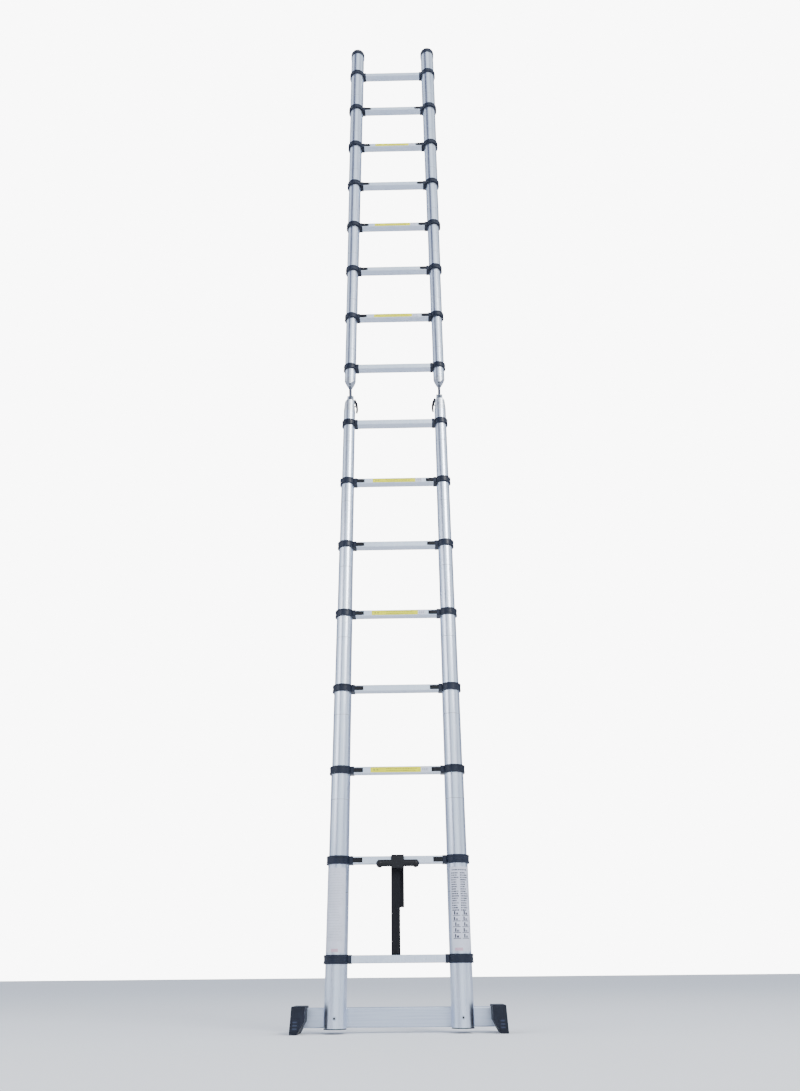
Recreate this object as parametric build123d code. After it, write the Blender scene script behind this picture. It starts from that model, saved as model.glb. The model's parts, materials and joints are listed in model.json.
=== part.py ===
"""Double-sided telescoping ladder: two seven-section halves joined by a pair of folding hinges.

Row frame: +Z up along the rails, +X across the rungs, +Y to the back. z = 0 is the floor under the
stabiliser feet and x = y = 0 is the middle of the whole ladder. Millimetres. The ladder is modelled
straight and fully extended; the upper half is the lower half mirrored about the hinge axis.
"""
from build123d import *
import os

# ---- driving dimensions -------------------------------------------------------------------
RUNG_PITCH = 300.0
RAIL_SPACING = 400.0
SECTIONS = 7
BASE_TUBE_D = 72.0
TUBE_STEP = 3.6            # change of outside diameter from one section to the next
TUBE_WALL = 1.3
TUBE_OVERLAP = 90.0        # length of each tube that stays inside the one below it

RAIL_Y = -10.0
TUBE_BOTTOM_Z = 15.0
FIXED_RUNG_Z = 194.0       # underside of the collars of the fixed rung
HINGE_HEIGHT = 167.5       # hinge axis above the underside of the last collar
HINGE_OFFSET_Y = 46.0      # hinge axis behind the rail axis, so the halves fold flat together

COLLAR_H = 27.0
COLLAR_WALL = 6.0
COLLAR_LIP = 5.0
SHOULDER = 7.0
FIT = 0.05                 # gap between pieces that are fixed together
SLIDE_GAP = 0.4            # radial gap round a sliding tube

RUNG_H = 24.0
RUNG_D = 36.0
RUNG_WALL = 2.0
RUNG_CORNER = 3.0
TREAD_RIBS = 7

LATCH_L = 24.0
LATCH_TRAVEL = 7.0         # how far a latch is drawn towards the middle of its rung
LATCH_H = 15.0
LATCH_PROUD = 3.5
LATCH_FLANGE = 1.5
LATCH_GAP = 0.4
PIN_R = 4.0
SPIGOT_L = 22.0            # length of a collar's spigot inside the rung

BAR_H = 56.0
BAR_D = 28.0
BAR_Z = 15.0
BAR_HALF = 318.0
FOOT_D = 112.0
FOOT_IN = 291.0            # inner face of a stabiliser foot from the middle of the ladder
BOLT_R = 4.0

STUB = 50.0                # last tube above its collar
HINGE_TAPER = 35.0         # height of the upper socket
HINGE_BODY_H = 56.0        # height of the lower socket
HINGE_BODY_W = 41.0
HINGE_DISC_R = 30.0
HINGE_PLATE = 10.0         # thickness of the middle plate
HINGE_FORK = 8.0           # thickness of each outer plate
HINGE_GAP = 0.5
PIVOT_R = 6.0

STRAP_W = 30.0
STRAP_T = 1.6

# ---- derived places -----------------------------------------------------------------------
RAIL_X = RAIL_SPACING / 2
BASE_COLLAR_Z = FIXED_RUNG_Z + RUNG_PITCH
LAST_COLLAR_Z = BASE_COLLAR_Z + (SECTIONS - 1) * RUNG_PITCH
HINGE_Z = LAST_COLLAR_Z + HINGE_HEIGHT
HINGE_Y = RAIL_Y + HINGE_OFFSET_Y
BAR_Y = RAIL_Y + 24.0 + BAR_D / 2
BAR_MID_Z = BAR_Z + BAR_H / 2
STUB_TOP_Z = LAST_COLLAR_Z + COLLAR_H + STUB


def tube_r(k):
    """Outside radius of section k's tubes."""
    return (BASE_TUBE_D - TUBE_STEP * (k - 1)) / 2


def collar_z(k):
    """Underside of section k's collars."""
    return BASE_COLLAR_Z + (k - 1) * RUNG_PITCH


def collar_r(k):
    return tube_r(k) + COLLAR_WALL


# ---- small helpers ------------------------------------------------------------------------
def box(x0, x1, y0, y1, z0, z1):
    centre = ((x0 + x1) / 2, (y0 + y1) / 2, (z0 + z1) / 2)
    return Pos(*centre) * Box(x1 - x0, y1 - y0, z1 - z0)


def rod(radius, z0, z1, x=0.0, y=0.0):
    return Pos(x, y, (z0 + z1) / 2) * Cylinder(radius, z1 - z0)


def rod_x(radius, x0, x1, y, z):
    return Pos((x0 + x1) / 2, y, z) * Rot(0, 90, 0) * Cylinder(radius, x1 - x0)


def rod_y(radius, y0, y1, x, z):
    return Pos(x, (y0 + y1) / 2, z) * Rot(90, 0, 0) * Cylinder(radius, y1 - y0)


def prism_y(points, y0, y1):
    """Solid with an (x, z) outline, from y0 to y1."""
    face = make_face(Polyline(*[(x, y0, z) for x, z in points], close=True).edges())
    return extrude(face, amount=y1 - y0, dir=(0, 1, 0))


def prism_x(face_yz, x0, x1):
    """Solid with a (y, z) outline, given as a sketch on XY, from x0 to x1."""
    plane = Plane(origin=(x0, 0, 0), x_dir=(0, 1, 0), z_dir=(1, 0, 0))
    return extrude(plane * face_yz, amount=x1 - x0)


def both_sides(shape):
    """The shape on the right-hand rail and its mirror image on the left-hand one."""
    return [shape, mirror(shape, about=Plane.YZ)]


def node(name, shapes):
    """Writes one node; its shapes are separate solids."""
    solids = [s for shape in shapes for s in shape.solids()]
    export_step(Compound(solids), f"parts/{name}.step")
    return solids


# ---- tubes --------------------------------------------------------------------------------
def tube(k):
    """Right-hand tube of section k of the lower half."""
    r = tube_r(k)
    bottom = TUBE_BOTTOM_Z if k == 1 else collar_z(k - 1) - TUBE_OVERLAP
    top = STUB_TOP_Z if k == SECTIONS else collar_z(k) + COLLAR_H - COLLAR_LIP
    body = rod(r, bottom, top, RAIL_X, RAIL_Y) - rod(r - TUBE_WALL, bottom, top, RAIL_X, RAIL_Y)
    holes = []
    if k < SECTIONS:       # the lock pin passes through the inner side of this tube
        holes.append(collar_z(k) + COLLAR_H / 2)
    if k > 1:              # and locks in this hole of the next one
        holes.append(collar_z(k - 1) + COLLAR_H / 2)
    for z in holes:
        body -= rod_x(PIN_R + 0.4, RAIL_X - r - 1, RAIL_X - r + 6, RAIL_Y, z)
    return body


def notch():
    """Space that the stabiliser bar takes out of the base tubes and their plugs."""
    half = BAR_D / 2 + FIT
    return box(-BAR_HALF, BAR_HALF, BAR_Y - half, BAR_Y + half, BAR_Z - 9, BAR_Z + BAR_H + FIT)


def guide_plug(k):
    """Nylon plug in the lower end of an inner tube, with an air hole that slows its fall."""
    r = tube_r(k)
    z = collar_z(k - 1) - TUBE_OVERLAP
    plug = rod(r + 0.1, z - 4, z, RAIL_X, RAIL_Y) + rod(r - TUBE_WALL - FIT, z, z + 14, RAIL_X, RAIL_Y)
    return plug - rod(8, z - 5, z + 15, RAIL_X, RAIL_Y)


def base_plug():
    z = TUBE_BOTTOM_Z
    r = tube_r(1)
    plug = rod(r, z - 3, z - FIT, RAIL_X, RAIL_Y) + rod(r - TUBE_WALL - FIT, z - FIT, z + 15, RAIL_X, RAIL_Y)
    return plug - notch() - rod(24, z + 2, z + 16, RAIL_X, RAIL_Y)


# ---- rungs and collars --------------------------------------------------------------------
def rung_section():
    """Hollow rung outline in (y, z), centred, with a ribbed tread."""
    face = RectangleRounded(RUNG_D, RUNG_H, RUNG_CORNER)
    face -= RectangleRounded(RUNG_D - 2 * RUNG_WALL, RUNG_H - 2 * RUNG_WALL, RUNG_CORNER - RUNG_WALL / 2)
    spacing = (RUNG_D - 4 * RUNG_CORNER) / (TREAD_RIBS - 1)
    for i in range(TREAD_RIBS):
        y = (i - (TREAD_RIBS - 1) / 2) * spacing
        face -= Pos(y, RUNG_H / 2) * Rectangle(1.4, 1.2)
    return face


def rung(ring_r, z, latched):
    """Rung between two collars of radius ring_r, whose underside is at z."""
    half = RAIL_X - ring_r - SHOULDER
    mid = z + COLLAR_H / 2
    body = prism_x(Pos(RAIL_Y, mid) * rung_section(), -half, half)
    if latched:
        front = RAIL_Y - RUNG_D / 2
        near, far = half + 1, half - LATCH_L - LATCH_TRAVEL - 2 * LATCH_GAP
        pocket_z = LATCH_H / 2 + LATCH_GAP
        pocket = box(far, near, front - 1, front + RUNG_WALL + 1, mid - pocket_z, mid + pocket_z)
        for side in both_sides(pocket):
            body -= side
    return body


def collar(r, z, inner_r, pinned):
    """Nylon collar on the right-hand tube of radius r. inner_r is the hole in its top lip."""
    ring_r = r + COLLAR_WALL
    fit_r = r + FIT
    lip_z = COLLAR_H - COLLAR_LIP + FIT
    edge, band = 1.5, 0.8
    outline = [(fit_r, 0), (ring_r - edge, 0), (ring_r, edge), (ring_r, 7), (ring_r - band, 7 + band),
               (ring_r - band, 20 - band), (ring_r, 20), (ring_r, COLLAR_H - edge), (ring_r - edge, COLLAR_H)]
    outline += [(inner_r, COLLAR_H), (inner_r, lip_z), (fit_r, lip_z)] if inner_r < r else [(fit_r, COLLAR_H)]
    face = make_face(Polyline(*[(x, 0, h) for x, h in outline], close=True).edges())
    ring = Pos(RAIL_X, RAIL_Y, z) * revolve(face, Axis.Z)

    outer_x = RAIL_X - ring_r
    half_d = RUNG_D / 2 + 2
    shoulder = box(outer_x - SHOULDER + FIT, outer_x + 5, RAIL_Y - half_d, RAIL_Y + half_d, z, z + COLLAR_H)
    shoulder = fillet(shoulder.edges().filter_by(Axis.X), 2.5)
    mid = z + COLLAR_H / 2
    inner_h = RUNG_H / 2 - RUNG_WALL - 0.2
    spigot = box(outer_x - SHOULDER - SPIGOT_L, outer_x - SHOULDER + 1, RAIL_Y - 8,
                 RAIL_Y + RUNG_D / 2 - RUNG_WALL - 0.2, mid - inner_h, mid + inner_h)
    spigot = fillet(spigot.edges().filter_by(Axis.X), RUNG_CORNER)
    body = ring + ((shoulder + spigot) - rod(fit_r, z - 1, z + lip_z, RAIL_X, RAIL_Y)
                   - rod(max(inner_r, 1), z - 1, z + COLLAR_H + 1, RAIL_X, RAIL_Y))
    if pinned:
        body -= rod_x(PIN_R + LATCH_GAP, outer_x - SHOULDER - 30, RAIL_X - r + 8, RAIL_Y, mid)
    return body


def carrier_x(k):
    """Inner face of the latch's carrier wall, clear of the collar's spigot."""
    return RAIL_X - collar_r(k) - SHOULDER - SPIGOT_L - 4


def lock_pin(k):
    """Steel pin in the collar's bore; its tip stops inside the tube's wall."""
    mid = collar_z(k) + COLLAR_H / 2
    return rod_x(PIN_R, carrier_x(k) - 4, RAIL_X - tube_r(k) + 1.0, RAIL_Y, mid)


def latch(k):
    """Thumb latch in the front of section k's rung, right-hand side, with the wall that carries its pin."""
    near = RAIL_X - collar_r(k) - SHOULDER - LATCH_GAP
    far = near - LATCH_L
    mid = collar_z(k) + COLLAR_H / 2
    front = RAIL_Y - RUNG_D / 2
    inner = front + RUNG_WALL + LATCH_GAP
    half_h = LATCH_H / 2
    pad = box(far, near, front - LATCH_PROUD, inner + 1, mid - half_h, mid + half_h)
    pad = fillet(pad.edges().group_by(Axis.Y)[0], 1.2)
    for i in range(4):     # grip grooves
        x = (far + near) / 2 + (i - 1.5) * 4.4
        pad -= box(x - 0.9, x + 0.9, front - LATCH_PROUD - 1, front - LATCH_PROUD + 0.8, mid - 5.5, mid + 5.5)
    wall_x = carrier_x(k)
    flange = box(wall_x - 4, near, inner, inner + LATCH_FLANGE, mid - half_h - 1.5, mid + half_h + 1.5)
    wall = box(wall_x - 4, wall_x, inner, RAIL_Y + PIN_R + 3, mid - PIN_R - 3, mid + PIN_R + 3)
    return pad + flange + (wall - rod_x(PIN_R + FIT, wall_x - 5, wall_x + 1, RAIL_Y, mid))


# ---- base ---------------------------------------------------------------------------------
def stabiliser_bar():
    outer = Pos(BAR_Y, BAR_MID_Z) * RectangleRounded(BAR_D, BAR_H, 4)
    inner = Pos(BAR_Y, BAR_MID_Z) * RectangleRounded(BAR_D - 4, BAR_H - 4, 2)
    bar = prism_x(outer - inner, -BAR_HALF, BAR_HALF)
    for x in (-RAIL_X, RAIL_X):
        bar -= rod_y(BOLT_R + 0.2, BAR_Y - BAR_D, BAR_Y, x, BAR_MID_Z)
    return bar


def stabiliser_foot():
    """Rubber foot that caps the right-hand end of the bar and spreads outwards at its sole."""
    top = BAR_Z + BAR_H + 6
    outline = [(FOOT_IN, top), (FOOT_IN + 42, top), (FOOT_IN + 46, 0), (FOOT_IN + 22, 0), (FOOT_IN, 36)]
    front = RAIL_Y - FOOT_D / 2
    foot = prism_y(outline, front + 2, front + FOOT_D)
    foot = fillet(foot.edges().filter_by(Axis.Y), 2)
    pocket = box(FOOT_IN - 1, BAR_HALF + FIT, BAR_Y - BAR_D / 2 - FIT, BAR_Y + BAR_D / 2 + FIT,
                 BAR_Z - FIT, BAR_Z + BAR_H + FIT)
    foot -= pocket
    face = [(FOOT_IN + 16, 42), (FOOT_IN + 38, 42), (FOOT_IN + 41, 8), (FOOT_IN + 20, 8)]
    panel = prism_y(face, front, front + 3)
    for i in range(3):     # ribs on the front panel
        z = 14 + 9 * i
        panel -= box(FOOT_IN + 21.5, FOOT_IN + 36.5, front - 1, front + 1.4, z, z + 5)
    foot += panel
    for i in range(7):     # sole tread
        y = front + 14 + 14 * i
        foot -= box(FOOT_IN, FOOT_IN + 70, y - 2, y + 2, -1, 3)
    return foot


def bar_bolt():
    """Cap screw through the right-hand tube and the bar's front wall, and its nut inside the bar."""
    front = RAIL_Y - tube_r(1)
    seat = BAR_Y - BAR_D / 2 + 2 + FIT
    head = rod_y(6.5, front - 4.5, front + 0.3, RAIL_X, BAR_MID_Z)
    head -= rod_y(3.4, front - 5, front - 1.5, RAIL_X, BAR_MID_Z)
    screw = head + rod_y(BOLT_R, front, seat + 9, RAIL_X, BAR_MID_Z)
    plane = Plane(origin=(RAIL_X, seat, BAR_MID_Z), x_dir=(1, 0, 0), z_dir=(0, 1, 0))
    nut = extrude(plane * RegularPolygon(7.5, 6), amount=6.5)
    return [screw, nut - rod_y(BOLT_R + FIT, seat - 1, seat + 12, RAIL_X, BAR_MID_Z)]


def bolt_hole():
    front = RAIL_Y - tube_r(1)
    bore = rod_y(BOLT_R + 0.2, front - 1, BAR_Y, RAIL_X, BAR_MID_Z)
    return bore + rod_y(6.6, front - 6, front + 0.35, RAIL_X, BAR_MID_Z)


def end_cap():
    """Rubber cap on the free end of an upper base tube, drawn at the lower end and mirrored later."""
    r = tube_r(1)
    z = TUBE_BOTTOM_Z
    cap = rod(r + 2.5, z - 12, z + 20, RAIL_X, RAIL_Y)
    cap = fillet(cap.edges().group_by(Axis.Z)[0], 4)
    cap -= rod(r + FIT, z, z + 21, RAIL_X, RAIL_Y)
    for i in range(4):     # grip grooves on the sole
        y = RAIL_Y + (i - 1.5) * 14
        cap -= box(RAIL_X - 40, RAIL_X + 40, y - 2, y + 2, z - 13, z - 9.5)
    return cap


# ---- hinge --------------------------------------------------------------------------------
def leaf_outline():
    """(y, z) outline from the top of the last tube back to the disc round the hinge axis."""
    base = Pos(RAIL_Y, STUB_TOP_Z + 2) * Rectangle(44, 4)
    disc = Pos(HINGE_Y, HINGE_Z) * Circle(HINGE_DISC_R)
    return make_hull([*base.edges(), *disc.edges()])


def leaf_root(width_top, height, shoulder=0.0):
    """Cast socket that fills the last tube and narrows to width_top; shoulder bevels its top corners."""
    r = tube_r(SECTIONS)
    z = STUB_TOP_Z
    plug = rod(r - TUBE_WALL - FIT, z - 40, z + FIT, RAIL_X, RAIL_Y)
    profile = [(r, 0), (r, 6), (width_top / 2, height - shoulder), (width_top / 2 - shoulder, height)]
    if not shoulder:
        profile.pop()
    outline = [(RAIL_X - x, z + FIT + h) for x, h in profile]
    outline += [(RAIL_X + x, z + FIT + h) for x, h in reversed(profile)]
    socket = prism_y(outline, RAIL_Y - r, RAIL_Y + r) & rod(r, z, z + height + 1, RAIL_X, RAIL_Y)
    return plug + socket


def hinge_lower_leaf():
    """Two outer plates on the lower half's last tube, bored for the pivot and the lock stem."""
    inner = HINGE_PLATE / 2 + HINGE_GAP
    outer = inner + HINGE_FORK
    face = leaf_outline()
    plates = prism_x(face, RAIL_X - outer, RAIL_X - inner) + prism_x(face, RAIL_X + inner, RAIL_X + outer)
    root = leaf_root(HINGE_BODY_W, HINGE_BODY_H, 7.0)
    clear = rod_x(HINGE_DISC_R + 2, RAIL_X - 40, RAIL_X + 40, HINGE_Y, HINGE_Z)
    leaf = plates + (root - clear)
    leaf -= rod_x(PIVOT_R + 0.06, RAIL_X - 30, RAIL_X + 30, HINGE_Y, HINGE_Z)
    stem_y, stem_z = lock_place()
    return leaf - rod_x(3.3, RAIL_X - 30, RAIL_X - inner + 0.1, stem_y, stem_z)


def hinge_upper_leaf():
    """Middle plate on the upper half's last tube, drawn at the lower half and mirrored later."""
    half = HINGE_PLATE / 2
    leaf = prism_x(leaf_outline(), RAIL_X - half, RAIL_X + half) + leaf_root(HINGE_PLATE, HINGE_TAPER)
    return leaf - rod_x(PIVOT_R + 0.06, RAIL_X - 30, RAIL_X + 30, HINGE_Y, HINGE_Z)


def pivot_pin():
    half = HINGE_PLATE / 2 + HINGE_GAP + HINGE_FORK
    pin = rod_x(PIVOT_R, RAIL_X - half - 0.5, RAIL_X + half + 0.5, HINGE_Y, HINGE_Z)
    pin += rod_x(11, RAIL_X - half - 4, RAIL_X - half - 0.1, HINGE_Y, HINGE_Z)
    return pin + rod_x(11, RAIL_X + half + 0.1, RAIL_X + half + 4, HINGE_Y, HINGE_Z)


def lock_place():
    """(y, z) of the hinge lock's stem, on the lower leaf between the tube and the disc."""
    return RAIL_Y + 20, HINGE_Z - 42


def hinge_lock():
    """Curved release lever and its stem, on the side of the hinge that faces the rungs."""
    y, z = lock_place()
    side = RAIL_X - HINGE_BODY_W / 2
    stem = rod_x(3, side - 8, RAIL_X - HINGE_PLATE / 2 - HINGE_GAP - 0.4, y, z)
    outer_edge = Spline((side - 1, HINGE_Z - 4), (side - 14, HINGE_Z - 36), (side - 13, HINGE_Z - 76))
    inner_edge = Spline((side - 6.5, HINGE_Z - 76), (side - 5, HINGE_Z - 42), (side + 3, HINGE_Z - 16))
    ends = [Line(outer_edge @ 1, inner_edge @ 0), Line(inner_edge @ 1, outer_edge @ 0)]
    outline = make_face([outer_edge, inner_edge, *ends])
    plane = Plane(origin=(0, y - 6, 0), x_dir=(1, 0, 0), z_dir=(0, -1, 0))
    return stem + extrude(plane * outline, amount=-12)


# ---- carrying strap -----------------------------------------------------------------------
def strap():
    """Webbing from the tread of the fixed rung, over the base rung, with its loose end behind."""
    rung_front = RAIL_Y - RUNG_D / 2
    rung_back = RAIL_Y + RUNG_D / 2
    top = BASE_COLLAR_Z + COLLAR_H / 2 + RUNG_H / 2
    tread = FIXED_RUNG_Z + COLLAR_H / 2 + RUNG_H / 2
    gap = STRAP_T / 2 + 0.3
    front, back = rung_front - gap - 0.6, rung_back + gap + 0.6
    route = [(rung_back - 14, tread + gap), (rung_front + 8, tread + gap), (front, top - 60),
             (front, top + gap), (back, top + gap), (back, top - 34)]
    line = FilletPolyline(*route, radius=3)
    main = prism_x(trace(line, STRAP_T), -23, -23 + STRAP_W)
    tail_line = Polyline((back, top - 34.5), (rung_back + gap - 1, top - 158))
    return [main, prism_x(trace(tail_line, STRAP_T), -10, -10 + STRAP_W)]


def carry_handle():
    """Moulded grip held against the base rung by the strap."""
    back = RAIL_Y - RUNG_D / 2 - 1.0 - STRAP_T
    z = BASE_COLLAR_Z + 1
    grip = rod_x(11, -66, 66, back - 13, z)
    ends = [Pos(s * 60, back - 13, z - 2) * Sphere(12.5) for s in (-1, 1)]
    block = box(-21, 21, back - 24, back, z - 17, z + 26)
    block = fillet(block.edges().filter_by(Axis.Z) + block.edges().filter_by(Axis.X), 3)
    return block + grip + ends[0] + ends[1]


# ---- build --------------------------------------------------------------------------------
def section_nodes(half, place):
    """The nodes of all seven sections of one half; place puts a lower-half shape where it belongs."""
    for k in range(1, SECTIONS + 1):
        latched = k < SECTIONS
        pipe = tube(k)
        lip_r = tube_r(k + 1) + SLIDE_GAP if latched else tube_r(k) + FIT
        nylon = [collar(tube_r(k), collar_z(k), lip_r, latched)]
        rungs = [rung(collar_r(k), collar_z(k), latched)]
        if k == 1:
            nylon.append(collar(tube_r(1), FIXED_RUNG_Z, tube_r(1) + FIT, False))
            nylon.append(base_plug() if half == "lower" else end_cap())
            rungs.append(rung(collar_r(1), FIXED_RUNG_Z, False))
            pipe -= (notch() + bolt_hole()) if half == "lower" else []
        else:
            nylon.append(guide_plug(k))

        node(f"{half}_section_{k}_tubes_and_rungs", [place(s) for s in both_sides(pipe) + rungs])
        node(f"{half}_section_{k}_collars", [place(s) for piece in nylon for s in both_sides(piece)])
        if latched:
            latches = zip(both_sides(latch(k)), both_sides(lock_pin(k)))
            for side, pieces in zip(("right", "left"), latches):
                node(f"{half}_section_{k}_latch_{side}", [place(s) for s in pieces])


def to_upper(shape):
    """Mirrors a lower-half shape into the upper half."""
    return mirror(shape, about=Plane.XY.offset(HINGE_Z))


def main():
    os.makedirs("parts", exist_ok=True)
    section_nodes("lower", lambda shape: shape)
    section_nodes("upper", to_upper)

    bolts = [s for piece in bar_bolt() for s in both_sides(piece)]
    node("stabiliser_bar_and_bolts", [stabiliser_bar(), *bolts])
    node("stabiliser_feet", both_sides(stabiliser_foot()))

    node("hinge_lower_leaves_and_pins", both_sides(hinge_lower_leaf()) + both_sides(pivot_pin()))
    node("hinge_upper_leaves", [to_upper(s) for s in both_sides(hinge_upper_leaf())])
    right_lock, left_lock = both_sides(hinge_lock())
    node("hinge_lock_right", [right_lock])
    node("hinge_lock_left", [left_lock])

    node("carry_strap", strap())
    node("carry_handle", [carry_handle()])


main()
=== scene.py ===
import bpy
import json
import math
import random
from mathutils import Matrix, Vector


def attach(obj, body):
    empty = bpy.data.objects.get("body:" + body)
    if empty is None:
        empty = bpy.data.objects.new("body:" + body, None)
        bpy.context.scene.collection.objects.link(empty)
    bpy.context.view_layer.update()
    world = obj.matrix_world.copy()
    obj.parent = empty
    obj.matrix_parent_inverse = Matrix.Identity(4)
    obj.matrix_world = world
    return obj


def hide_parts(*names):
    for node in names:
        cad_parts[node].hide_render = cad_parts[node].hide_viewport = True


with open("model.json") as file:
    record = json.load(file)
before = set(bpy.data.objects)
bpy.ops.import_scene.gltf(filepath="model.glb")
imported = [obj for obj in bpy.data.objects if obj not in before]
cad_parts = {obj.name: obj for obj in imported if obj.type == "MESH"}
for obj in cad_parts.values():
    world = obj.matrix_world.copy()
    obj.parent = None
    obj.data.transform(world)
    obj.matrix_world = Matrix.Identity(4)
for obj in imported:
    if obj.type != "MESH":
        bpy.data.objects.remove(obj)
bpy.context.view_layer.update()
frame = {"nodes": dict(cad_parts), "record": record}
rng = random.Random(7)

# ---- sizes of the frame, in metres ---------------------------------------------------------
RAIL_X, RAIL_Y = 0.200, -0.010
PITCH = 0.300
BASE_COLLAR_Z, FIXED_RUNG_Z = 0.494, 0.194
HINGE_Z = BASE_COLLAR_Z + 6 * PITCH + 0.1675
COLLAR_H, RUNG_H, RUNG_D = 0.027, 0.024, 0.036
FRONT = RAIL_Y - RUNG_D / 2
STRIP_HALF_H = 0.009                # half the height of a printed strip
STRIP_PROUD, LABEL_PROUD, INK_PROUD = 0.0005, 0.0003, 0.0001
TUBE_LINE_DROP = 0.088              # from the underside of a collar to the ring on its tube
BOLT_Z = 0.043


def tube_r(k):
    return 0.036 - 0.0018 * (k - 1)


def collar_z(k):
    return BASE_COLLAR_Z + (k - 1) * PITCH


def height(half, z):
    """z on the lower half, or its mirror image on the upper half."""
    return z if half == "lower" else 2 * HINGE_Z - z


# ---- materials -----------------------------------------------------------------------------
class Shade:
    """A Principled material and short ways to add procedural detail to it."""

    def __init__(self, name, colour, rough, metal=0.0, **constants):
        self.mat = bpy.data.materials.new(name)
        self.mat.use_nodes = True
        self.nodes, self.links = self.mat.node_tree.nodes, self.mat.node_tree.links
        self.bsdf = self.nodes["Principled BSDF"]
        self.set("Base Color", (*colour, 1))
        self.set("Roughness", rough)
        self.set("Metallic", metal)
        for socket, value in constants.items():
            self.set(socket.replace("_", " "), value)
        self.coords = self.nodes.new("ShaderNodeTexCoord").outputs["Object"]
        self.height = None

    def set(self, socket, value):
        self.bsdf.inputs[socket].default_value = value

    def noise(self, scale, stretch=(1, 1, 1), detail=4.0):
        mapping = self.nodes.new("ShaderNodeMapping")
        mapping.inputs["Scale"].default_value = stretch
        self.links.new(self.coords, mapping.inputs["Vector"])
        tex = self.nodes.new("ShaderNodeTexNoise")
        tex.inputs["Scale"].default_value = scale
        tex.inputs["Detail"].default_value = detail
        self.links.new(mapping.outputs["Vector"], tex.inputs["Vector"])
        return tex.outputs["Fac"]

    def bands(self, scale, direction):
        tex = self.nodes.new("ShaderNodeTexWave")
        tex.bands_direction = direction
        tex.inputs["Scale"].default_value = scale
        self.links.new(self.coords, tex.inputs["Vector"])
        return tex.outputs["Fac"]

    def ramp(self, factor, low, high, start=0.3, end=0.7):
        node = self.nodes.new("ShaderNodeMapRange")
        node.inputs["From Min"].default_value = start
        node.inputs["From Max"].default_value = end
        node.inputs["To Min"].default_value = low
        node.inputs["To Max"].default_value = high
        self.links.new(factor, node.inputs["Value"])
        return node.outputs["Result"]

    def mix(self, factor, low, high):
        """Colour from low to high; low and high are colours or sockets."""
        node = self.nodes.new("ShaderNodeMix")
        node.data_type = "RGBA"
        self.links.new(factor, node.inputs["Factor"])
        for key, value in (("A", low), ("B", high)):
            socket = next(s for s in node.inputs if s.name == key and s.type == "RGBA")
            if isinstance(value, tuple):
                socket.default_value = (*value, 1)
            else:
                self.links.new(value, socket)
        return next(s for s in node.outputs if s.type == "RGBA")

    def rough(self, factor, low, high):
        self.links.new(self.ramp(factor, low, high), self.bsdf.inputs["Roughness"])
        return self

    def colour(self, socket):
        self.links.new(socket, self.bsdf.inputs["Base Color"])
        return self

    def bump(self, factor, strength, distance):
        node = self.nodes.new("ShaderNodeBump")
        node.inputs["Strength"].default_value = strength
        node.inputs["Distance"].default_value = distance
        self.links.new(factor, node.inputs["Height"])
        if self.height is not None:
            self.links.new(self.height, node.inputs["Normal"])
        self.height = node.outputs["Normal"]
        self.links.new(self.height, self.bsdf.inputs["Normal"])
        return self


def make_metal():
    """Anodised aluminium with a fine lengthwise grain."""
    s = Shade("anodised_tube", (0.8, 0.82, 0.85), 0.24, 1.0)
    grain = s.noise(6.0, (90, 90, 1.2))
    cloud = s.noise(9.0)
    tone = s.mix(s.ramp(grain, 0, 1), (0.66, 0.72, 0.84), (0.80, 0.85, 0.95))
    tone = s.mix(s.ramp(cloud, 0, 0.35, 0.4, 0.7), tone, (0.58, 0.69, 0.85))
    s.colour(tone)
    s.rough(grain, 0.26, 0.36)
    return s.bump(grain, 0.05, 0.0002).mat


def make_plastic(name, colour, light, rough=0.42, scale=420.0, strength=0.18):
    s = Shade(name, colour, rough, Specular_IOR_Level=0.28)
    s.colour(s.mix(s.ramp(s.noise(14.0), 0, 1), colour, light))
    s.rough(s.noise(35.0), rough - 0.06, rough + 0.1)
    return s.bump(s.noise(scale, detail=2.0), strength, 0.0003).mat


def make_webbing():
    s = Shade("webbing", (0.01, 0.01, 0.012), 0.85,
              Sheen_Weight=0.06, Sheen_Roughness=0.4, Specular_IOR_Level=0.2)
    rows = s.bands(170.0, "Z")
    ribs = s.bands(150.0, "X")
    s.colour(s.mix(s.ramp(rows, 0, 1, 0.2, 0.8), (0.003, 0.003, 0.005), (0.014, 0.014, 0.018)))
    return s.bump(rows, 0.2, 0.0003).bump(ribs, 0.12, 0.0002).mat


def make_bar():
    s = Shade("stabiliser_bar", (0.74, 0.77, 0.83), 0.42, 1.0)
    grain = s.noise(6.0, (1.2, 90, 90))
    s.colour(s.mix(s.ramp(grain, 0, 1), (0.50, 0.56, 0.68), (0.62, 0.67, 0.78)))
    s.rough(grain, 0.36, 0.5)
    return s.bump(grain, 0.05, 0.0002).mat


def make_hinge(name, steel):
    """Cast aluminium; steel darkens the plate round the pivot."""
    s = Shade(name, (0.7, 0.72, 0.76), 0.33, 1.0)
    cast = s.mix(s.ramp(s.noise(60.0), 0, 1), (0.58, 0.61, 0.67), (0.74, 0.77, 0.82))
    if steel:
        split = s.nodes.new("ShaderNodeSeparateXYZ")
        s.links.new(s.coords, split.inputs["Vector"])
        plate = s.ramp(split.outputs["Z"], 1, 0, HINGE_Z + 0.050, HINGE_Z + 0.058)
        cast = s.mix(plate, cast, (0.12, 0.13, 0.16))
    s.colour(cast)
    s.rough(s.noise(30.0), 0.28, 0.42)
    return s.bump(s.noise(700.0), 0.1, 0.0002).mat


def make_print(name, colour, rough=0.4):
    s = Shade(name, colour, rough)
    darker = tuple(c * 0.9 for c in colour)
    return s.colour(s.mix(s.ramp(s.noise(40.0), 0, 1), darker, colour)).mat


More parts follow.
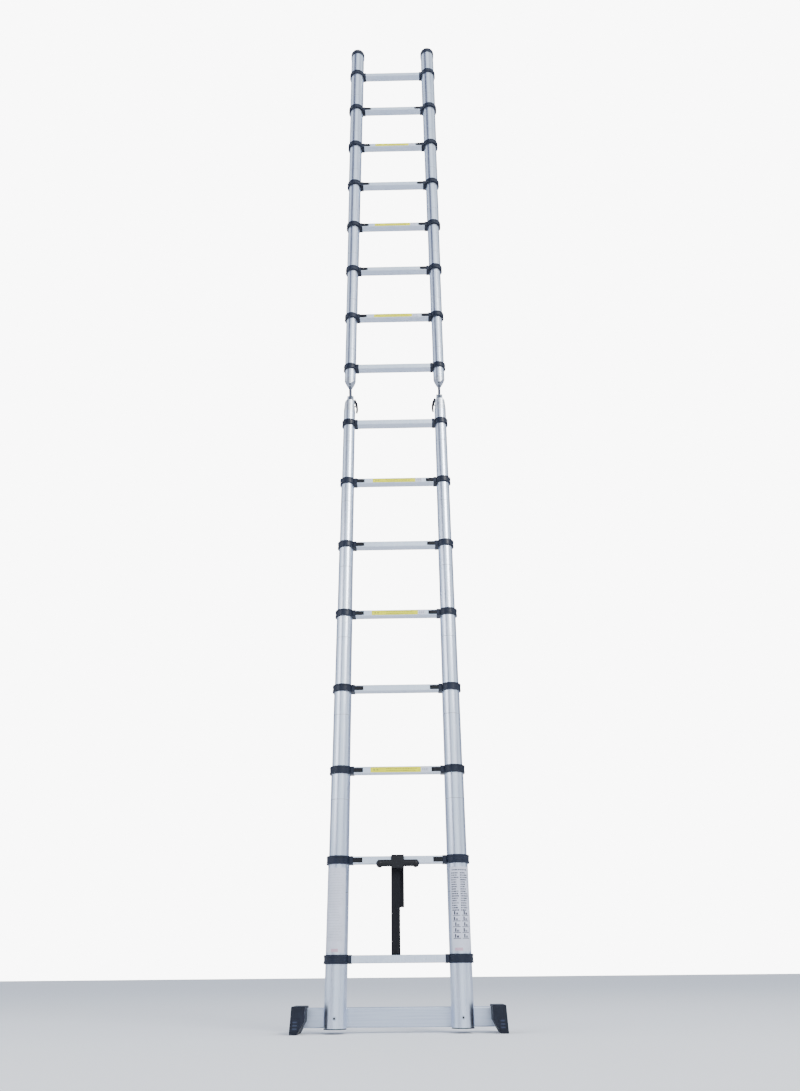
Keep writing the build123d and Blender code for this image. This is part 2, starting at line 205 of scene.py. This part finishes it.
MATS = {
    "anodised_tube": make_metal(),
    "collar_nylon": make_plastic("collar_nylon", (0.006, 0.009, 0.020), (0.012, 0.017, 0.034), 0.36),
    "latch_nylon": make_plastic("latch_nylon", (0.003, 0.004, 0.007), (0.007, 0.008, 0.013), 0.42),
    "stabiliser_bar": make_bar(),
    "foot_rubber": make_plastic("foot_rubber", (0.004, 0.006, 0.014), (0.009, 0.012, 0.024),
                                0.50, 260.0, 0.3),
    "hinge_metal": make_hinge("hinge_metal", False),
    "lock_nylon": make_plastic("lock_nylon", (0.003, 0.004, 0.008), (0.006, 0.008, 0.014), 0.6),
    "webbing": make_webbing(),
    "handle_plastic": make_plastic("handle_plastic", (0.004, 0.004, 0.006), (0.008, 0.008, 0.011), 0.45),
}
HINGE_PLATE = make_hinge("hinge_plate", True)
YELLOW = make_print("strip_yellow", (0.80, 0.78, 0.0))
WHITE = make_print("label_white", (0.66, 0.68, 0.78))
INK = make_print("label_ink", (0.02, 0.02, 0.05))
GREY_INK = make_print("label_grey_ink", (0.40, 0.43, 0.52))
# Near-black painted shade for the shadow inside each cap screw's hex socket
SOCKET_PAINTED_SHADE = make_print("recess_painted_shade", (0.01, 0.01, 0.014))
# Rib colour: a lighter navy than the foot rubber, a painted highlight standing in for the reflection on each
# foot's front panel
RIB_PAINTED_HIGHLIGHT = make_plastic("foot_rib_painted_highlight", (0.020, 0.028, 0.055), (0.035, 0.045, 0.080), 0.4)
PINK_INK = make_print("label_pink", (0.62, 0.42, 0.52))
OLIVE = make_print("strip_olive", (0.42, 0.42, 0.05))
# Grey band colour: painted shade for the ring groove pressed into each tube
GROOVE_PAINTED_SHADE = make_print("tube_line_painted_shade", (0.36, 0.39, 0.44), 0.3)

slots = {entry["node"]: entry["material_slot"] for entry in frame["record"]["subparts"]}
for name, node in frame["nodes"].items():
    for material_slot in node.material_slots:
        material_slot.material = HINGE_PLATE if name == "hinge_upper_leaves" else MATS[slots[name]]
    for polygon in node.data.polygons:
        polygon.use_smooth = True
    smooth = node.modifiers.new("smooth", "EDGE_SPLIT")
    smooth.split_angle = math.radians(32)


# ---- mesh helpers --------------------------------------------------------------------------
class Build:
    """Collects quads with materials into one object."""

    def __init__(self):
        self.verts, self.faces, self.index, self.mats = [], [], [], []

    def quad(self, corners, mat):
        start = len(self.verts)
        self.verts += corners
        self.faces.append(tuple(range(start, start + 4)))
        if mat not in self.mats:
            self.mats.append(mat)
        self.index.append(self.mats.index(mat))

    def done(self, name, body, slot=None):
        mesh = bpy.data.meshes.new(name)
        mesh.from_pydata(self.verts, [], self.faces)
        for mat in self.mats:
            mesh.materials.append(mat)
        for polygon, mat in zip(mesh.polygons, self.index):
            polygon.material_index = mat
            polygon.use_smooth = True
        obj = bpy.data.objects.new(name, mesh)
        bpy.context.scene.collection.objects.link(obj)
        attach(obj, body)
        return obj


def flat_panel(build, x0, x1, z0, z1, y, mat, thick=0.0004):
    """Thin plate on the front of a rung, with its edges."""
    b = y + thick
    build.quad([(x0, y, z0), (x1, y, z0), (x1, y, z1), (x0, y, z1)], mat)
    build.quad([(x0, y, z1), (x1, y, z1), (x1, b, z1), (x0, b, z1)], mat)
    build.quad([(x0, b, z0), (x1, b, z0), (x1, y, z0), (x0, y, z0)], mat)
    build.quad([(x0, b, z0), (x0, y, z0), (x0, y, z1), (x0, b, z1)], mat)
    build.quad([(x1, y, z0), (x1, b, z0), (x1, b, z1), (x1, y, z1)], mat)


def curved_panel(build, cx, radius, a0, a1, z0, z1, mat, steps=None):
    """Patch of a label wrapped round a tube; angles in degrees from the front, positive to +X."""
    steps = steps or max(1, int(abs(a1 - a0) / 6))
    for i in range(steps):
        low, high = [math.radians(a0 + (a1 - a0) * j / steps) for j in (i, i + 1)]
        p = (cx + radius * math.sin(low), RAIL_Y - radius * math.cos(low))
        q = (cx + radius * math.sin(high), RAIL_Y - radius * math.cos(high))
        build.quad([(*p, z0), (*q, z0), (*q, z1), (*p, z1)], mat)


def band(build, cx, radius, z0, z1, mat, steps=48):
    for i in range(steps):
        a, b = math.tau * i / steps, math.tau * (i + 1) / steps
        p = (cx + radius * math.cos(a), RAIL_Y + radius * math.sin(a))
        q = (cx + radius * math.cos(b), RAIL_Y + radius * math.sin(b))
        build.quad([(*p, z0), (*q, z0), (*q, z1), (*p, z1)], mat)


# ---- printed strips, labels and tube lines -------------------------------------------------
def printed_strip(half, k):
    """Yellow strip on a rung's front, with a pale end panel and rows of greeked marks."""
    mid = height(half, collar_z(k) + COLLAR_H / 2)
    build = Build()
    y = FRONT - STRIP_PROUD
    ink = y - INK_PROUD
    left, right, split = -0.094, 0.112, 0.084
    flat_panel(build, left, split, mid - STRIP_HALF_H, mid + STRIP_HALF_H, y, YELLOW)
    flat_panel(build, split, right, mid - STRIP_HALF_H, mid + STRIP_HALF_H, y, WHITE)
    for row in (0.0035, -0.0035):
        x = left + 0.055
        while x < split - 0.020:
            width = rng.uniform(0.002, 0.008)
            flat_panel(build, x, x + width, mid + row - 0.0007, mid + row + 0.0007, ink, INK, INK_PROUD)
            x += width + rng.uniform(0.0015, 0.004)
    for x in (left + 0.010, left + 0.021):
        flat_panel(build, x, x + 0.006, mid - 0.003, mid + 0.003, ink, OLIVE, INK_PROUD)
    for i in range(3):
        x = split + 0.005 + 0.007 * i
        flat_panel(build, x, x + 0.004, mid - 0.004, mid + 0.004, ink, GREY_INK, INK_PROUD)
    build.done(f"{half}_printed_strip_{k}", f"{half}_{k}")


def greeked_line(build, x, radius, a0, a1, z, high, mat):
    """A line of short marks where a label has wording."""
    a = a0
    while a < a1 - 2:
        width = min(rng.uniform(2, 8), a1 - a)
        curved_panel(build, x, radius, a, a + width, z, z + high, mat, 1)
        a += width + rng.uniform(1.2, 3)


def base_labels():
    """White labels round the fronts of the lower base tubes, with marks that say nothing."""
    z0, z1 = FIXED_RUNG_Z + COLLAR_H + 0.006, BASE_COLLAR_Z - 0.012
    radius = tube_r(1) + LABEL_PROUD
    ink = radius + INK_PROUD
    plain, marked = Build(), Build()
    curved_panel(plain, -RAIL_X, radius, -66, 46, z0, z1, WHITE)
    for i in range(26):
        z = z1 - 0.014 - 0.0082 * i
        greeked_line(plain, -RAIL_X, ink, -52, rng.uniform(10, 36), z, 0.0009, GREY_INK)
    curved_panel(plain, -RAIL_X, ink, -26, 10, z0 + 0.002, z0 + 0.011, PINK_INK)
    plain.done("left_rail_label", "lower_1")

    curved_panel(marked, RAIL_X, radius, -46, 66, z0, z1, WHITE)
    greeked_line(marked, RAIL_X, ink, -34, 52, z1 - 0.012, 0.0035, INK)
    for i in range(17):
        for a in (-38, 10):
            z = z1 - 0.022 - 0.0071 * i
            greeked_line(marked, RAIL_X, ink, a, a + rng.uniform(26, 44), z, 0.0040, INK)
    for i in range(5):
        z = z1 - 0.150 - 0.017 * i
        for a in (-36, 12):
            lean = rng.uniform(4, 14)
            curved_panel(marked, RAIL_X, ink, a, a + 40, z, z + 0.0018, INK)
            curved_panel(marked, RAIL_X, ink, a + lean, a + lean + 7, z + 0.003, z + 0.014, INK, 1)
            curved_panel(marked, RAIL_X, ink, a + lean + 11, a + lean + 21, z + 0.003, z + 0.009, INK, 1)
    curved_panel(marked, RAIL_X, ink, -30, 12, z0 + 0.002, z0 + 0.011, PINK_INK)
    marked.done("right_rail_label", "lower_1")


def foot_ribs():
    """Ribs in the grooves of the panel on each foot's front, coloured lighter than the foot rubber: a painted
    highlight for the light the panel reflects.
    """
    for side, sign in (("right", 1), ("left", -1)):
        build = Build()
        for i in range(3):
            z = 0.0145 + 0.009 * i
            x0, x1 = sorted((sign * 0.3132, sign * 0.3268))
            flat_panel(build, x0, x1, z, z + 0.004, -0.0658, RIB_PAINTED_HIGHLIGHT, 0.0011)
        build.done(f"{side}_foot_ribs", "lower_1", "foot_rubber")


def paint_bolt_socket_shades():
    """Dark hexagon in each cap screw on the base tubes: a flat sheet of painted shade for the shadow inside
    its hex socket.
    """
    for side, x in (("right", RAIL_X), ("left", -RAIL_X)):
        build = Build()
        y, z, r = RAIL_Y - tube_r(1) - 0.0046, BOLT_Z, 0.0036
        ring = [(x + r * math.cos(math.tau * i / 6), y, z + r * math.sin(math.tau * i / 6)) for i in range(6)]
        build.quad([ring[0], ring[1], ring[2], ring[3]], SOCKET_PAINTED_SHADE)
        build.quad([ring[0], ring[3], ring[4], ring[5]], SOCKET_PAINTED_SHADE)
        build.done(f"{side}_bolt_socket_painted_shade", "lower_1")


def tube_lines():
    """The faint ring pressed into each tube below its collar, drawn as a flat grey band: painted shade for
    its groove.
    """
    for half in ("lower", "upper"):
        for k in range(1, 8):
            build = Build()
            z = height(half, collar_z(k) - TUBE_LINE_DROP)
            for x in (-RAIL_X, RAIL_X):
                band(build, x, tube_r(k) + 0.00015, z - 0.0009, z + 0.0009, GROOVE_PAINTED_SHADE)
            build.done(f"{half}_tube_lines_{k}", f"{half}_{k}")


for half in ("lower", "upper"):
    for k in (2, 4, 6):
        printed_strip(half, k)
base_labels()
foot_ribs()
paint_bolt_socket_shades()
tube_lines()


# ---- carrying strap ------------------------------------------------------------------------
def ribbon(name, route, x0, x1, thick):
    """Webbing with rounded edges along (y, z) points."""
    path = [Vector((0, *p)) for p in route]
    for _ in range(3):          # round the corners
        fine = [path[0]]
        for a, b in zip(path, path[1:]):
            fine += [a.lerp(b, 0.25), a.lerp(b, 0.75)]
        path = fine + [path[-1]]
    middle, half = (x0 + x1) / 2, (x1 - x0) / 2
    across = [(-1, 0), (-0.94, 1), (0, 1.15), (0.94, 1), (1, 0), (0.94, -1), (0, -1.15), (-0.94, -1)]
    rings = []
    for i, p in enumerate(path):
        step = (path[min(i + 1, len(path) - 1)] - path[max(i - 1, 0)]).normalized()
        side = step.cross(Vector((1, 0, 0)))
        rings.append([p + Vector((middle + u * half, 0, 0)) + side * (v * thick / 2) for u, v in across])
    build = Build()
    for a, b in zip(rings, rings[1:]):
        for j in range(8):
            build.quad([tuple(v) for v in (a[j], a[(j + 1) % 8], b[(j + 1) % 8], b[j])], MATS["webbing"])
    for ring in (rings[0], rings[-1]):
        for j in (0, 2, 4):
            corners = [ring[j], ring[(j + 1) % 8], ring[(j + 2) % 8], ring[0]]
            build.quad([tuple(v) for v in corners], MATS["webbing"])
    return build.done(name, "lower_1", "webbing")


back = RAIL_Y + RUNG_D / 2
top = BASE_COLLAR_Z + COLLAR_H / 2 + RUNG_H / 2
tread = FIXED_RUNG_Z + COLLAR_H / 2 + RUNG_H / 2
GAP = 0.0012
main_route = [(back - 0.014, tread + GAP), (FRONT + 0.010, tread + GAP), (FRONT - 0.0015, tread + 0.006)]
for i in range(8):                  # the length between the rungs bows out a little
    main_route.append((FRONT - 0.0015 - 0.0015 * math.sin(i / 7 * math.pi), tread + 0.02 + 0.03 * i))
main_route += [(FRONT - 0.0017, top - 0.004), (FRONT - 0.0017, top + GAP), (back + 0.0017, top + GAP),
               (back + 0.0017, top - 0.034)]
tail_route = [(back + 0.0020, top + GAP), (back + 0.0022, top - 0.03), (back + 0.0014, top - 0.07),
              (back + 0.0024, top - 0.11), (back + 0.0012, top - 0.158)]
strap = ribbon("strap_main", main_route, -0.023, 0.007, 0.0016)
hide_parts("carry_strap")
ribbon("strap_tail", tail_route, -0.010, 0.020, 0.0016)

# ---- floor, light and camera ---------------------------------------------------------------
floor_mat = Shade("floor", (0.97, 0.97, 0.975), 0.9, Specular_IOR_Level=0.0).mat
bpy.ops.mesh.primitive_plane_add(size=300, location=(0, 0, -0.0005))
floor = bpy.context.object
floor.name = "floor"
floor.data.materials.append(floor_mat)


def soft_light(name, place, size, power, colour):
    data = bpy.data.lights.new(name, "AREA")
    data.size, data.energy, data.color = size, power, colour
    light = bpy.data.objects.new(name, data)
    bpy.context.scene.collection.objects.link(light)
    light.location = place
    light.rotation_mode = "QUATERNION"
    light.rotation_quaternion = (Vector((0, 0, 2.2)) - Vector(place)).to_track_quat("-Z", "Y")


soft_light("key", (3.5, -5.0, 5.5), 2.5, 420, (1.0, 0.99, 0.97))
soft_light("fill", (-4.5, -3.5, 3.0), 3.0, 120, (0.95, 0.97, 1.0))


def make_world():
    """White studio whose side walls have tall cooler panels, which the tubes mirror as stripes."""
    world = bpy.data.worlds.new("studio")
    world.use_nodes = True
    nodes, links = world.node_tree.nodes, world.node_tree.links
    nodes.clear()
    split = nodes.new("ShaderNodeSeparateXYZ")
    links.new(nodes.new("ShaderNodeTexCoord").outputs["Generated"], split.inputs["Vector"])
    turn = nodes.new("ShaderNodeMath")
    turn.operation = "ARCTAN2"
    links.new(split.outputs["X"], turn.inputs[0])
    links.new(split.outputs["Y"], turn.inputs[1])
    scale = nodes.new("ShaderNodeMapRange")
    scale.inputs["From Min"].default_value = -math.pi
    scale.inputs["From Max"].default_value = math.pi
    links.new(turn.outputs["Value"], scale.inputs["Value"])
    ramp = nodes.new("ShaderNodeValToRGB")
    stops = [(0.0, 1.0), (0.045, 0.95), (0.070, 0.04), (0.150, 0.02), (0.180, 0.65), (0.25, 1.0),
             (0.32, 0.22), (0.42, 0.45), (0.58, 0.45), (0.68, 0.14), (0.76, 1.0), (0.87, 0.35), (0.94, 1.0)]
    ramp.color_ramp.elements[0].position = stops[0][0]
    ramp.color_ramp.elements[1].position = stops[-1][0]
    for position, _ in stops[1:-1]:
        ramp.color_ramp.elements.new(position)
    for element, (_, level) in zip(ramp.color_ramp.elements, stops):
        element.color = (level * 0.84, level * 0.93, min(level * 1.05 + 0.05, 1.0), 1)
    links.new(scale.outputs["Result"], ramp.inputs["Fac"])
    seen = nodes.new("ShaderNodeBackground")
    seen.inputs["Color"].default_value = (1, 1, 1, 1)
    seen.inputs["Strength"].default_value = 9.0
    lit = nodes.new("ShaderNodeBackground")
    lit.inputs["Strength"].default_value = 1.75
    links.new(ramp.outputs["Color"], lit.inputs["Color"])
    choose = nodes.new("ShaderNodeMixShader")
    links.new(nodes.new("ShaderNodeLightPath").outputs["Is Camera Ray"], choose.inputs[0])
    links.new(lit.outputs["Background"], choose.inputs[1])
    links.new(seen.outputs["Background"], choose.inputs[2])
    links.new(choose.outputs["Shader"], nodes.new("ShaderNodeOutputWorld").inputs["Surface"])
    return world


bpy.context.scene.world = make_world()


def make_camera():
    yaw, pitch, roll = (math.radians(a) for a in (-0.8, 27.306, -0.546))
    ahead = Vector((math.sin(yaw) * math.cos(pitch), math.cos(yaw) * math.cos(pitch), math.sin(pitch)))
    right = Vector((math.cos(yaw), -math.sin(yaw), 0))
    up = right.cross(ahead)
    right, up = (math.cos(roll) * right + math.sin(roll) * up, math.cos(roll) * up - math.sin(roll) * right)
    data = bpy.data.cameras.new("camera")
    data.sensor_width, data.lens = 36.0, 27.53
    data.clip_start, data.clip_end = 0.05, 200
    camera = bpy.data.objects.new("camera", data)
    bpy.context.scene.collection.objects.link(camera)
    turn = Matrix((right, up, -ahead)).transposed().to_4x4()
    camera.matrix_world = Matrix.Translation((0.0593, -3.0121, 0.158)) @ turn
    bpy.context.scene.camera = camera


make_camera()
